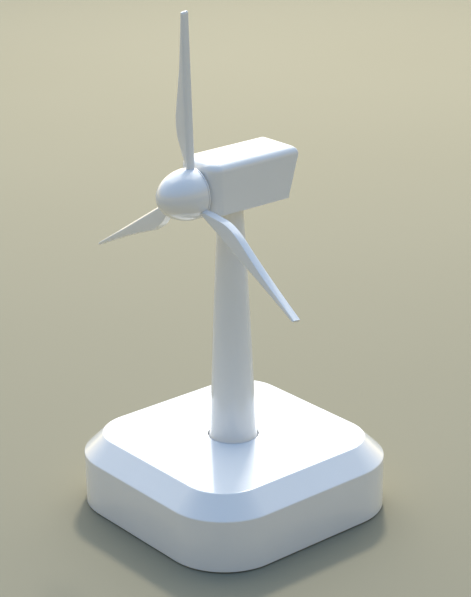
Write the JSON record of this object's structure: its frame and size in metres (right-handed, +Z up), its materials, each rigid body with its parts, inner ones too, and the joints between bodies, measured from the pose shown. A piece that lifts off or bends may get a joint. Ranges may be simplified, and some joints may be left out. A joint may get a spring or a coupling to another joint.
{
  "type": "small wind turbine",
  "caption": "Small desk wind turbine: three-bladed rotor and slant-backed nacelle that yaws on a round tapered tower, on a chamfered rounded-square base.",
  "frame": {"origin": "on the ground under the tower's axis, at the middle of the base", "axes": "+Z up along the tower, -Y towards the rotor's nose, +X to the right seen from the front"},
  "size_m": [0.1433, 0.12, 0.2436],
  "materials": {
    "white_plastic": "glossy moulded white",
    "inner_plastic": "satin moulded light grey",
    "rubber": "matt black",
    "steel": "satin",
    "dark_steel": "dark satin steel",
    "brass": "satin",
    "copper": "enamelled copper winding",
    "circuit_board": "green solder mask",
    "black_plastic": "satin black",
    "cell_wrap": "shrink-wrapped blue",
    "cable_skin": "dark cable jacket",
    "nylon": "natural nylon"
  },
  "bodies": {
    "base": {"base_cover": "white_plastic", "base_plate": "inner_plastic", "foot_1": "rubber", "foot_2": "rubber", "foot_3": "rubber", "foot_4": "rubber", "base_screw_1": "steel", "base_screw_2": "steel", "base_screw_3": "steel", "base_screw_4": "steel", "ballast_plate": "dark_steel", "battery_holder": "black_plastic", "battery_cell": "cell_wrap", "charge_board": "circuit_board", "board_capacitor": "black_plastic", "board_coil": "copper", "board_header": "nylon", "output_socket": "steel", "tower": "white_plastic", "tower_washer": "steel", "tower_nut": "nylon", "yaw_bush": "brass", "yaw_washer": "nylon", "cable_connector": "nylon", "tower_cable": "cable_skin"},
    "nacelle": {"nacelle_shell": "white_plastic", "nacelle_floor": "white_plastic", "floor_screw_1": "steel", "floor_screw_2": "steel", "floor_screw_3": "steel", "floor_screw_4": "steel", "yaw_clip": "steel", "bearing_outer_race": "steel", "generator_can": "steel", "generator_end_cap": "black_plastic", "stator_winding": "copper", "generator_cradle": "inner_plastic", "generator_strap": "inner_plastic", "strap_screw_1": "steel", "strap_screw_2": "steel", "generator_lead": "cable_skin"},
    "rotor": {"spinner": "white_plastic", "blade_1": "white_plastic", "blade_2": "white_plastic", "blade_3": "white_plastic", "hub_screw_1": "steel", "hub_screw_2": "steel", "hub_screw_3": "steel", "hub_core": "inner_plastic", "hub_back_plate": "white_plastic", "hub_nut": "brass", "rotor_shaft": "dark_steel", "bearing_inner_race": "steel", "shaft_coupling": "brass", "generator_shaft": "dark_steel", "magnet_core": "dark_steel"}
  },
  "joints": [
    {"name": "nacelle_yaw", "type": "hinge", "parent": "base", "child": "nacelle", "pos_m": [0, 0, 0.1522], "axis": [0, 0, 1], "range_deg": [-170, 170]},
    {"name": "rotor_spin", "type": "hinge", "parent": "nacelle", "child": "rotor", "pos_m": [0, -0.0237, 0.1613], "axis": [0, 1, 0], "continuous": true}
  ]
}
